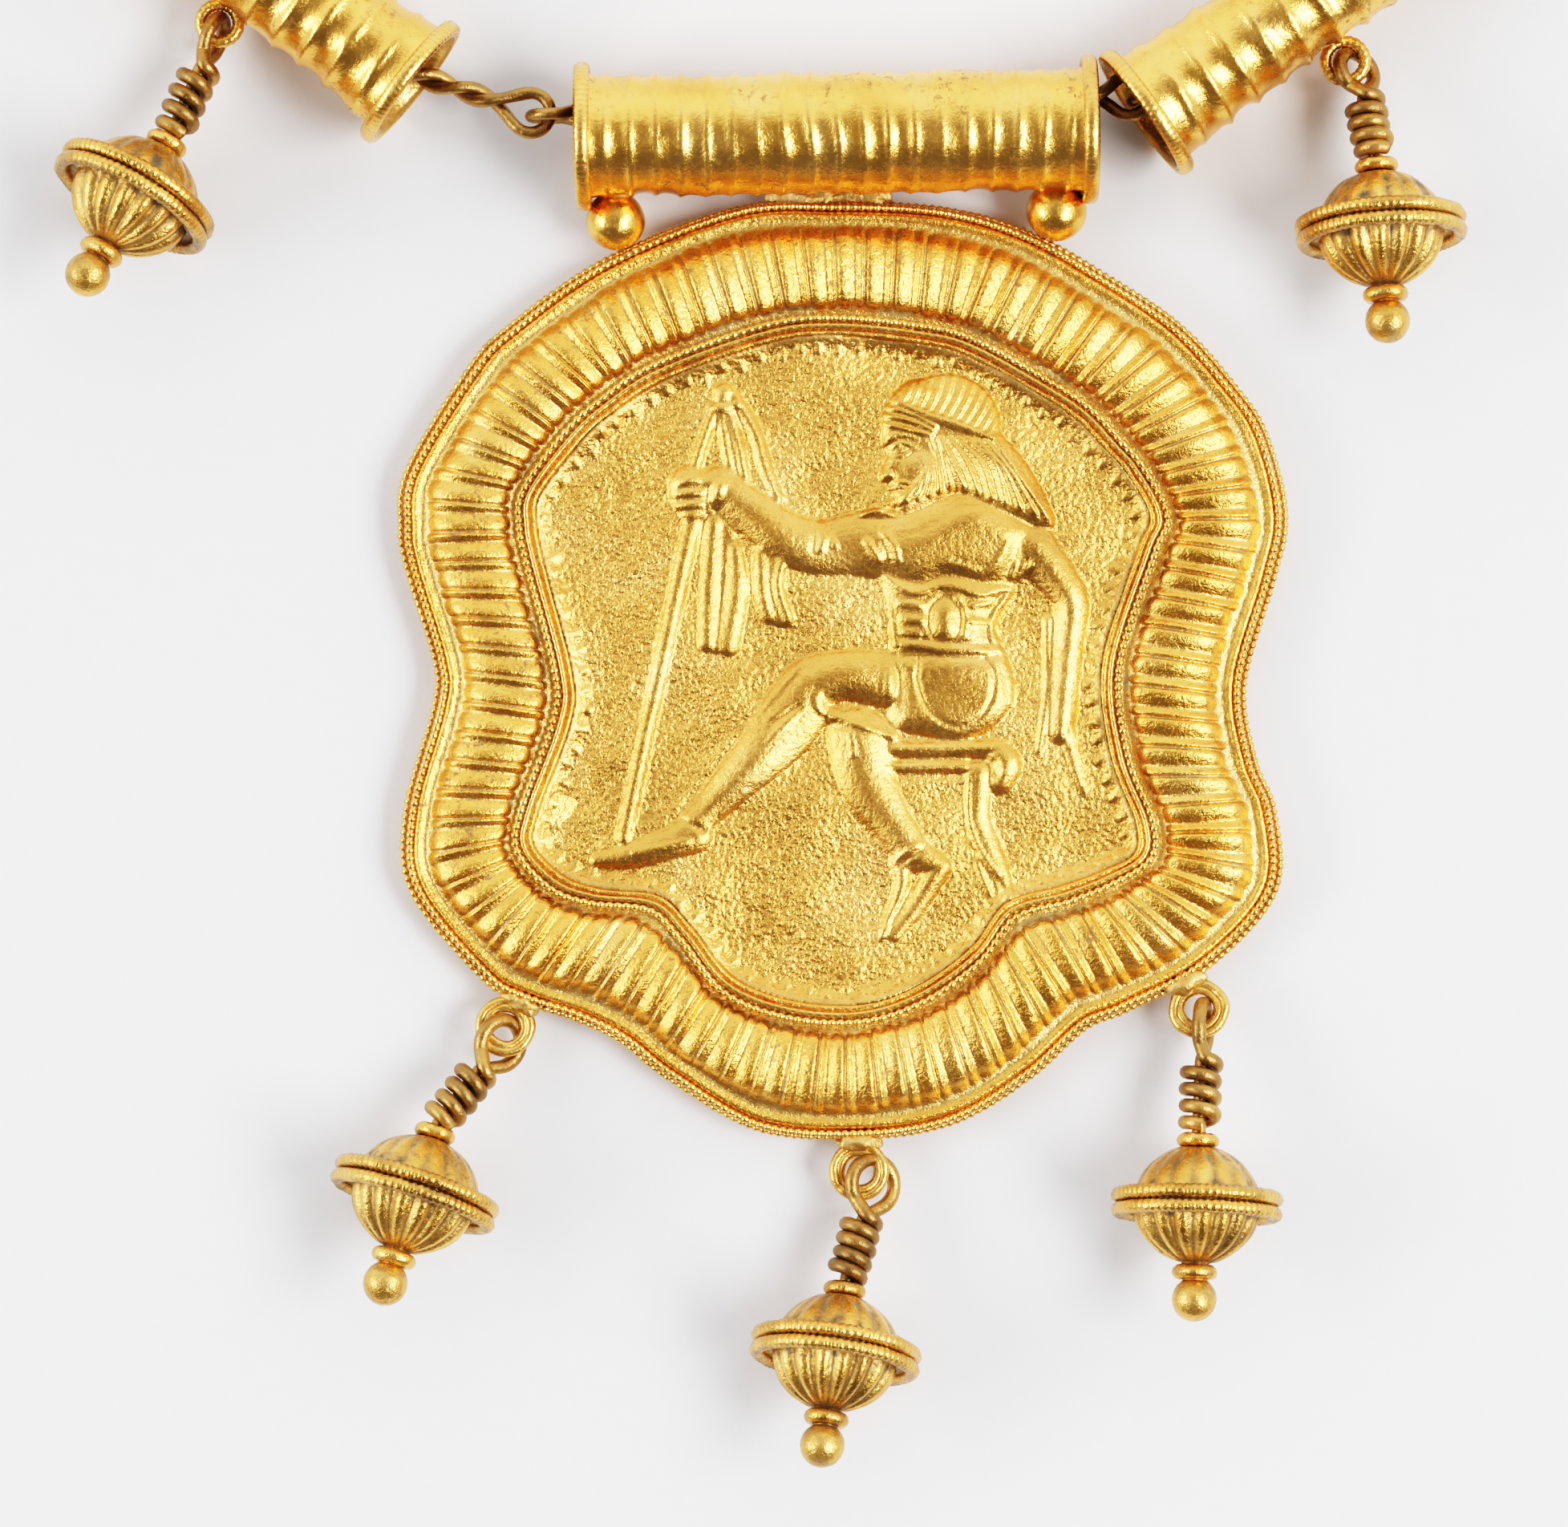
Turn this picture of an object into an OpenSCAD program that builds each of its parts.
// Medallion necklace: ribbed gold tubes on twisted wire links, a wavy medallion and five fluted
// drops. It lies on its flat back: Z = 0 is the surface, +Y the top of the medallion, and the
// origin is the middle of the medallion's back.

/* [Medallion] */
// Height of the rim wire's middle
rim_h = 1.5; // [1.2:0.1:1.8]
// Thickness of the beaded rim wire
rim_wire = 1.0; // [0.8:0.1:1.2]
// Height of the fluted border's crown
band_h = 3.7; // [3:0.1:4.5]
// Height of the inner wire's crown
inner_h = 3.1; // [2.8:0.1:3.6]
// Height of the picture field
field_h = 2.0; // [1.6:0.1:2.4]
// How far the flat back is set in from the rim
back_inset = 2.6; // [2:0.1:4]
// Diameter of the loops soldered to the rim, over their wire
loop_d = 3.4; // [3.2:0.05:3.5]
// Wire of the rim loops
loop_wire = 0.8; // [0.7:0.05:0.85]

/* [Tubes] */
// Length of the bail tube on the medallion
bail_l = 29.1; // [27:0.1:30]
// Diameter of the bail tube's crests
bail_d = 6.9; // [6.7:0.05:7]
// Ribs on the bail tube
bail_ribs = 19; // [16:1:21]
// Length of a side tube
tube_l = 23; // [21:0.1:24]
// Diameter of a side tube's crests near its ends
tube_d = 6.9; // [6.7:0.05:7]
// How much narrower a side tube is in the middle
tube_waist = 0.5; // [0:0.05:0.6]
// Ribs on a side tube
tube_ribs = 12; // [9:1:14]
// Depth of the channels between ribs
rib_depth = 0.22; // [0.1:0.02:0.3]
// Diameter over the end rings
ring_d = 8.3; // [8.2:0.05:8.6]
// Width of an end ring
ring_w = 0.9; // [0.7:0.05:1]
// Bore of the bail tube
bail_bore = 6.0; // [5.8:0.05:6.1]
// Bore of a side tube
tube_bore = 5.7; // [5.6:0.05:5.75]
// Bore at the mouth of every tube, inside its end ring
mouth_d = 6.5; // [6.2:0.05:6.6]

/* [Links] */
// Wire of the links
link_wire = 0.7; // [0.6:0.05:0.75]
// Diameter of a link's eye, over its wire
eye_d = 3.0; // [2.8:0.05:3.1]
// Distance from joint to joint along the chain
pitch = 31; // [30:0.1:32]
// Heading change at each joint on the left side, in degrees
turn_left = 22.3; // [22:0.1:23]
// Heading change at each joint on the right side, in degrees
turn_right = 23.3; // [22.5:0.1:23.5]
// Diameter of the clasp's barrel
clasp_d = 5; // [4:0.1:5]

/* [Drops] */
// Diameter of a drop over its girdle rings
girdle_d = 9.6; // [9.2:0.1:9.8]
// Wire of the girdle rings
girdle_wire = 0.85; // [0.7:0.05:0.9]
// Radius of the fluted body
bead_r = 3.6; // [3.4:0.05:3.7]
// Wire of the drop's eye and coil
drop_wire = 0.8; // [0.7:0.05:0.85]
// Turns of the coil
coil_turns = 4; // [3:1:4]

/* [Hidden] */
$fn = 48;
gold = [0.86, 0.66, 0.24];
old_gold = [0.74, 0.54, 0.2];

side_tubes = 6;
drop_count = 5;
LEFT = -1;
RIGHT = 1;
FLAT = 0;
UPRIGHT = 90;

// Outline of the medallion, clockwise from the top: where the middle of the outer wire lies, and
// where the inner wire lies at the other end of the same flute.
// columns: outer x, outer y, inner x, inner y
outline = [
    [-0.45, 26.2, -0.2, 19.7], [5.5, 25.9, 4.7, 19.2], [10.2, 24.6, 7.3, 18.5],
    [14.4, 22.3, 10.8, 16.6], [18.7, 19.4, 13.6, 14.8], [21.8, 16.0, 15.5, 12.8],
    [23.5, 13.4, 16.7, 11.4], [24.6, 9.0, 18.0, 8.8], [24.0, 5.5, 17.3, 6.7],
    [22.3, -0.5, 15.3, 0.4], [22.9, -4.9, 15.8, -4.6], [24.0, -7.8, 17.2, -8.3],
    [24.0, -12.2, 17.1, -10.3], [20.3, -16.3, 15.1, -11.6], [15.8, -18.7, 12.6, -12.6],
    [13.5, -19.7, 9.6, -13.5], [10.5, -22.4, 7.6, -16.0], [6.4, -24.9, 4.5, -18.2],
    [1.6, -25.8, 1.1, -19.3], [-4.5, -25.4, -2.9, -19.1], [-9.5, -22.6, -6.5, -17.7],
    [-12.2, -20.5, -8.9, -14.8], [-14.8, -19.2, -10.7, -13.1], [-17.8, -18.2, -14.0, -12.7],
    [-20.0, -16.9, -16.2, -11.9], [-23.9, -12.1, -18.0, -9.9], [-24.2, -7.7, -17.8, -7.7],
    [-22.6, -1.8, -16.0, -2.7], [-22.6, 0.8, -15.9, 0.1], [-24.2, 6.1, -17.5, 6.2],
    [-24.5, 8.3, -17.9, 8.3], [-24.1, 11.4, -17.7, 10.2], [-20.7, 17.0, -15.5, 13.2],
    [-18.5, 19.3, -13.6, 15.0], [-13.2, 23.0, -10.4, 17.1], [-5.9, 25.9, -4.2, 19.3]
];
sections = 84;
field_rings = 9;

// Section across the border, from the flat back round the rim wire and over to the field.
// columns: share of the way from outer to inner wire, further millimetres inward, height
wire_r = rim_wire / 2;
border = [
    [0, back_inset, 0],
    [0, wire_r * 0.7, rim_h - wire_r * 0.8],
    [0, -wire_r * 0.7, rim_h - wire_r * 0.7],
    [0, -wire_r, rim_h],
    [0, -wire_r * 0.7, rim_h + wire_r * 0.7],
    [0, 0, rim_h + wire_r],
    [0, wire_r * 0.9, rim_h + wire_r * 0.5],
    [0.22, 0, rim_h + 0.8],
    [0.36, 0, band_h - 0.35],
    [0.55, 0, band_h],
    [0.76, 0, band_h - 0.4],
    [0.86, 0, inner_h - 0.5],
    [1, -0.4, inner_h - 0.2],
    [1, 0, inner_h],
    [1, 0.4, inner_h - 0.2],
    [1, 1.3, field_h]
];

// Seated figure in low relief, as rounded bars standing on the field.
// columns: start x, start y, end x, end y, half width, height
figure = [
    [5.2, 13.8, 5.4, 12.9, 2.4, 3.2],
    [6.9, 13.0, 11.6, 8.6, 1.4, 1.8],
    [3.4, 7.4, 9.6, 6.0, 2.8, 2.9],
    [6.0, 5.0, 5.8, 1.5, 3.3, 2.6],
    [2.3, 7.6, -1.2, 7.8, 1.3, 2.2],
    [-1.2, 7.8, -8.6, 10.2, 1.2, 2.0],
    [-6.8, 15.2, -12.4, -9.0, 0.9, 1.2],
    [-7.1, 8.4, -5.6, 2.4, 1.6, 0.9],
    [6.2, -1.0, -1.4, -0.8, 2.7, 3.2],
    [-1.6, -1.2, -7.8, -8.4, 2.0, 2.6],
    [-8.1, -9.0, -14.0, -10.0, 1.1, 1.3],
    [0.9, -3.6, 3.7, -9.8, 1.7, 1.9],
    [3.7, -10.2, 1.9, -14.4, 1.1, 1.2],
    [3.0, -4.2, 9.8, -5.2, 1.3, 1.4],
    [7.4, -5.6, 9.5, -12.2, 1.1, 1.0],
    [11.3, 7.6, 12.9, 4.4, 1.3, 1.8],
    [12.9, 4.4, 12.2, -3.4, 1.2, 1.4]
];

// Loops on the rim for the three lower drops.
// columns: x, y, height of the middle, outward direction in degrees, how much the loop rises
rim_loops = [
    [-18.9, -19.8, 1.9, 240, 6],
    [0.95, -27.9, 1.9, 270, 6],
    [20.0, -18.8, 2.1, 295, 14]
];
// Granules between the rim and the bail tube.
// columns: x, y, height, radius
granules = [
    [-12.7, 25.35, 2.6, 1.65],
    [12.0, 25.9, 2.6, 1.7]
];
bail_middle = [-0.37, 30.1];
bail_turn = 0.8;
plate_x = [-4.0, 3.1];
plate_y = [25.7, 27.0];
plate_z = [1.6, 4.6];

// The drops: where the bead's middle lies, which way its wire end points, how far the ball end is
// raised, and where the middle of the wire's eye lies.
// columns: bead x, bead y, lean in degrees from +Y toward +X, raise in degrees,
//          eye x, eye y, eye z, turn of the eye out of the flat in degrees
drops = [
    [-23.8, -29.0, 17.9, 13, -19.5, -21.1, 2.0, 56],
    [-0.4, -37.85, 8.6, 17, 1.1, -29.1, 2.0, 50],
    [19.7, -29.6, 2.2, 9, 20.2, -19.85, 2.6, 62],
    [-39.4, 26.5, 29, 15, -35.3, 35.4, 2.5, 70],
    [29.95, 24.7, -3.1, 9, 28.65, 33.4, 2.6, 50]
];
girdle_r = (girdle_d - girdle_wire) / 2;
girdle_half = 0.41;
cap_at = 3.25;
collar_at = 3.6;
collar_r = 1.3;
collar_wire = 0.9;
ball_r = 1.25;
ball_at = 5.8;
foot_collar_at = 3.95;
foot_r = 0.7;
stem_depth = 1.6;
stem_gap = 0.1;
coil_pitch = 0.87;
coil_r = 1.25;
coil_start = 4.2;
coil_core_r = 0.55;
drop_eye_r = 1.2;
// A bend in a wire is a ball this much thicker than the wire, turned so that its poles stay clear.
bend_bulge = 1.06;

// Rings on the first tube of each side, which carry the two upper drops.
// columns: distance along the tube, distance off its axis, height, radius to the wire's middle
tube_loops = [
    [10.6, -3.95, 2.5, 1.05],
    [10.9, -4.1, 2.6, 1.1]
];
tube_loop_wire = 0.7;

// Where the bail's own link ends, and where the first left link bends to enter its tube.
start_left = [-16.9, 31.2, 2.6];
start_right = [16.6, 32.3, 3.3];
elbow_left = [-24.35, 33.7, 2.3];
first_heading = [38.3, 35.7];
// Middle of the near end ring of the first tube on each side
first_ring = [[-24.1, 32.95], [16.92, 31.25]];
joint_z = 2.5;
axis_z = ring_d / 2;
mouth_depth = 3;
ring_span = tube_l - ring_w;
eye_r = (eye_d - link_wire) / 2;
eye_back = eye_r / 2;

function clamp(v, lo, hi) = min(max(v, lo), hi);
function flat(p) = [p[0], p[1]];
function unit(v) = v / norm(v);
function lift(p, z) = [p[0], p[1], z];

// Position and travel along the chain; headings are measured from the bail outward.
function heading(side, k) = side == LEFT ?
    first_heading[0] + turn_left * (k - 1) : first_heading[1] + turn_right * (k - 1);
function ahead(side, k) = [side * cos(heading(side, k)), sin(heading(side, k)), 0];
function across(side, k) = [-side * sin(heading(side, k)), cos(heading(side, k)), 0];
function joint(side, k) =
    k == 0 ? (side == LEFT ? start_left : start_right) :
    side == LEFT && k == 1 ?
        lift(elbow_left + ahead(side, 1) * (pitch - norm(flat(start_left) - flat(elbow_left))),
            joint_z) :
        lift(joint(side, k - 1) + ahead(side, k) * pitch, joint_z);

// One point of a closed smooth curve through the rows of p; u runs from 0 to the row count.
function curve(p, u) = let(n = len(p), i = floor(u), t = u - i,
    a = p[(i + n - 1) % n], b = p[i % n], c = p[(i + 1) % n], d = p[(i + 2) % n])
    0.5 * (2 * b + (c - a) * t + (2 * a - 5 * b + 4 * c - d) * t * t
        + (3 * b - a - 3 * c + d) * t * t * t);
function border_point(s, row) = let(o = [s[0], s[1]], i = [s[2], s[3]])
    lift(o + (i - o) * row[0] + unit(i - o) * row[1], row[2]);
function bar_distance(p, a, b) = let(t = clamp((p - a) * (b - a) / ((b - a) * (b - a)), 0, 1))
    norm(p - a - t * (b - a));
function relief(p) = max([for (f = figure)
    let(d = bar_distance(p, [f[0], f[1]], [f[2], f[3]]) / f[4])
    d < 1 ? f[5] * (1 - d * d) : 0]);
function field_point(p, share) = let(q = flat(p) * share) lift(q, field_h + relief(q));

// Turns +Z to run from a toward b, with the origin at a.
module between(a, b) {
    d = b - a;
    translate(a) rotate([0, acos(d[2] / norm(d)), atan2(d[1], d[0])]) children();
}

module ring(radius, wire) {
    rotate_extrude() translate([radius, 0]) circle(d = wire, $fn = 24);
}

// A closed shell from the flat back, over the border, to the figure on the field.
module medallion_sheet() {
    s = [for (k = [0 : sections - 1]) curve(outline, k * len(outline) / sections)];
    rows = [for (r = border) [for (p = s) border_point(p, r)]];
    edge = rows[len(rows) - 1];
    field = [for (j = [1 : field_rings - 1]) [for (p = edge) field_point(p, 1 - j / field_rings)]];
    all_rows = concat(rows, field);
    last = len(all_rows) - 1;
    points = concat([for (r = all_rows) each r], [[0, 0, 0], field_point([0, 0], 0)]);
    back_pole = len(points) - 2;
    front_pole = len(points) - 1;
    function at(r, k) = r * sections + k % sections;
    polyhedron(points, concat(
        [for (r = [0 : last - 1], k = [0 : sections - 1]) each [
            [at(r, k), at(r + 1, k + 1), at(r + 1, k)],
            [at(r, k), at(r, k + 1), at(r + 1, k + 1)]]],
        [for (k = [0 : sections - 1]) [back_pole, at(0, k + 1), at(0, k)]],
        [for (k = [0 : sections - 1]) [front_pole, at(last, k), at(last, k + 1)]]));
}

// Plain stretch of a tube beside each end ring, how far a ring overlaps the wall, and the share of
// a rib's pitch over which the wall falls from the crest to the channel.
plain_end = 1.0;
ring_seat = 0.1;
fall_share = 0.3;

// Half a round end ring, from the bore out and back to the body, on either end of a tube.
function ring_half(z0, sign) = [for (a = [0 : 30 : 180])
    [ring_d / 2 - ring_w / 2 + ring_w / 2 * sin(a), z0 + sign * ring_w / 2 * (1 - cos(a))]];

// Ribbed tube wall, turned about Z from Z = 0 to the given length.
module ribbed_tube(length, crest_d, waist, ribs, bore) {
    plain = ring_w + plain_end;
    step = (length - 2 * plain) / ribs;
    function crest(z) = crest_d / 2 - waist / 2 * sin(180 * z / length);
    outside = [for (i = [0 : ribs]) let(z = plain + i * step) each [
        [crest(z), z],
        if (i < ribs) [crest(z) - rib_depth, z + step * fall_share],
        if (i < ribs) [crest(z) - rib_depth, z + step * (1 - fall_share)]]];
    near = [each ring_half(0, 1), [crest(0) - ring_seat, ring_w]];
    far = [each ring_half(length, -1), [crest(0) - ring_seat, length - ring_w]];
    inside = [[mouth_d / 2, 0], [mouth_d / 2, ring_w], [bore / 2, mouth_depth]];
    rotate_extrude() polygon(concat(
        [for (i = [2 : -1 : 0]) inside[i]], near, outside,
        [for (i = [len(far) - 1 : -1 : 0]) far[i]],
        [for (p = inside) [p[0], length - p[1]]]));
}

// The cut that clears the bail tube's bore is this much narrower than the bore.
bore_ease = 0.02;

module bail_place() {
    translate([bail_middle[0], bail_middle[1], axis_z])
        rotate([0, 90, bail_turn]) translate([0, 0, -bail_l / 2]) children();
}

module medallion() {
    color(gold) difference() {
        union() {
            medallion_sheet();
            bail_place() ribbed_tube(bail_l, bail_d, 0, bail_ribs, bail_bore);
            translate([plate_x[0], plate_y[0], plate_z[0]])
                cube([plate_x[1] - plate_x[0], plate_y[1] - plate_y[0],
                    plate_z[1] - plate_z[0]]);
            for (g = granules) translate([g[0], g[1], g[2]]) sphere(r = g[3]);
            for (l = rim_loops) translate([l[0], l[1], l[2]])
                rotate([0, 0, l[3]]) rotate([0, -l[4], 0])
                    ring((loop_d - loop_wire) / 2, loop_wire);
        }
        bail_place() translate([0, 0, mouth_depth])
            cylinder(d = bail_bore - bore_ease, h = bail_l - 2 * mouth_depth);
    }
}

// Direction of a drop's wire end, and its bead's middle, which lies so that the girdle touches Z = 0.
function drop_axis(d) = [sin(d[2]) * cos(d[3]), cos(d[2]) * cos(d[3]), -sin(d[3])];
function bead_middle(d) = [d[0], d[1],
    girdle_wire / 2 + girdle_r * cos(d[3]) + girdle_half * sin(d[3])];

module drop_bead(i) {
    d = drops[i];
    m = bead_middle(d);
    profile = [for (a = [0 : 10 : 180]) [bead_r * sin(a), -cap_at * cos(a)]];
    color(gold) between(m, m + drop_axis(d)) difference() {
        union() {
            rotate_extrude() polygon(profile);
            cylinder(r = girdle_r, h = 2 * girdle_half, center = true);
            for (z = [-girdle_half, girdle_half]) translate([0, 0, z]) ring(girdle_r, girdle_wire);
            for (z = [collar_at, -foot_collar_at]) translate([0, 0, z]) {
                ring(collar_r - collar_wire / 2, collar_wire);
                cylinder(r = collar_r - collar_wire / 2, h = collar_wire, center = true);
            }
            translate([0, 0, -ball_at + ball_r / 2]) cylinder(r = foot_r, h = ball_at - cap_at);
            translate([0, 0, -ball_at]) sphere(r = ball_r);
        }
        translate([0, 0, collar_at - stem_depth])
            cylinder(d = drop_wire + 2 * stem_gap, h = stem_depth + 1);
    }
}

// Wrapped wire as a stack of turns round a core, from Z = 0.
module coil(turns) {
    bumps = [for (i = [0 : turns - 1], a = [-75 : 30 : 75])
        [coil_r - drop_wire / 2 + drop_wire / 2 * cos(a),
            (i + 0.5) * coil_pitch + drop_wire / 2 * sin(a)]];
    rotate_extrude() polygon(concat([[0, 0]], bumps, [[0, turns * coil_pitch]]));
}

module drop_wire_piece(i) {
    d = drops[i];
    m = bead_middle(d);
    axis = drop_axis(d);
    eye = [d[4], d[5], d[6]];
    bend = m + axis * coil_start;
    pull = unit(eye - bend);
    lean = acos(clamp(axis * pull, -1, 1));
    coil_base = bend + pull * coil_r * sin(lean);
    stem_foot = m + axis * (collar_at - stem_depth + stem_gap);
    neck = norm(eye - coil_base) - drop_eye_r;
    color(old_gold) union() {
        between(stem_foot, bend) cylinder(d = drop_wire, h = norm(bend - stem_foot));
        translate(bend) rotate([90, 0, 0]) sphere(d = drop_wire * bend_bulge);
        between(bend, eye) cylinder(d = drop_wire, h = norm(eye - bend) - drop_eye_r);
        between(coil_base, eye) {
            coil(coil_turns);
            cylinder(r = coil_core_r, h = neck);
        }
        between(eye, eye + pull) rotate([0, 0, d[7] - 90]) rotate([90, 0, 0])
            ring(drop_eye_r, drop_wire);
    }
}

module tube_loop(side) {
    l = tube_loops[side == LEFT ? 0 : 1];
    near = first_ring[side == LEFT ? 0 : 1];
    p = lift(near, 0) + ahead(side, 1) * l[0] + across(side, 1) * l[1];
    translate([p[0], p[1], l[2]]) ring(l[3], tube_loop_wire);
}

module tube(side, k) {
    ring_at = k == 1 ? lift(first_ring[side == LEFT ? 0 : 1], axis_z) :
        lift(joint(side, k - 1) + ahead(side, k) * (pitch - ring_span) / 2, axis_z);
    base = ring_at - ahead(side, k) * ring_w / 2;
    color(gold) union() {
        between(base, base + ahead(side, k))
            ribbed_tube(tube_l, tube_d, tube_waist, tube_ribs, tube_bore);
        if (k == 1) tube_loop(side);
    }
}

// An eye at p whose wire runs toward "to"; the roll turns it from flat to upright.
module link_eye(p, to, roll) {
    u = unit(to - p);
    between(p + u * eye_back, to) rotate([0, 0, roll - 90]) rotate([90, 0, 0])
        ring(eye_r, link_wire);
}

// The length of link between two eyes, as thick as its two twisted strands.
module strands(a, b, trim_a, trim_b) {
    u = unit(b - a);
    between(a + u * trim_a, b) cylinder(d = 2 * link_wire, h = norm(b - a) - trim_a - trim_b);
}

module link(a, b, roll_a, roll_b) {
    trim = eye_back + eye_r;
    color(old_gold) union() {
        link_eye(a, b, roll_a);
        link_eye(b, a, roll_b);
        strands(a, b, trim, trim);
    }
}

module bent_link(a, elbow, b, roll_a, roll_b) {
    trim = eye_back + eye_r;
    color(old_gold) union() {
        link_eye(a, elbow, roll_a);
        link_eye(b, elbow, roll_b);
        strands(a, elbow, trim, 0);
        translate(elbow) rotate([90, 0, 0]) sphere(d = 2 * link_wire * bend_bulge);
        strands(b, elbow, trim, 0);
    }
}

module link_piece(side, k) {
    near_roll = side == LEFT ? FLAT : UPRIGHT;
    far_roll = side == LEFT ? UPRIGHT : FLAT;
    if (side == LEFT && k == 1)
        bent_link(joint(side, 0), elbow_left, joint(side, 1), near_roll, far_roll);
    else
        link(joint(side, k - 1), joint(side, k), near_roll, far_roll);
}

module link_bail() {
    link(start_left, start_right, UPRIGHT, FLAT);
}

// A plain barrel with an eye at each end, which closes the loop at the back of the neck.
clasp_gap = 1;
clasp_nose_r = 1.2;
clasp_taper = 1.4;
module clasp() {
    a = joint(RIGHT, side_tubes);
    b = joint(LEFT, side_tubes);
    trim = eye_back + eye_r;
    u = unit(b - a);
    barrel_l = norm(b - a) - 2 * (trim + clasp_gap);
    color(gold) union() {
        link_eye(a, b, UPRIGHT);
        link_eye(b, a, FLAT);
        strands(a, b, trim, trim);
        between(a + u * (trim + clasp_gap), b) rotate_extrude() polygon([
            [0, 0], [clasp_nose_r, 0], [clasp_d / 2, clasp_taper],
            [clasp_d / 2, barrel_l - clasp_taper], [clasp_nose_r, barrel_l], [0, barrel_l]]);
    }
}

medallion();
for (i = [1 : drop_count]) {
    drop_bead(i - 1);
    drop_wire_piece(i - 1);
}
for (k = [1 : side_tubes]) {
    tube(LEFT, k);
    tube(RIGHT, k);
    link_piece(LEFT, k);
    link_piece(RIGHT, k);
}
link_bail();
clasp();
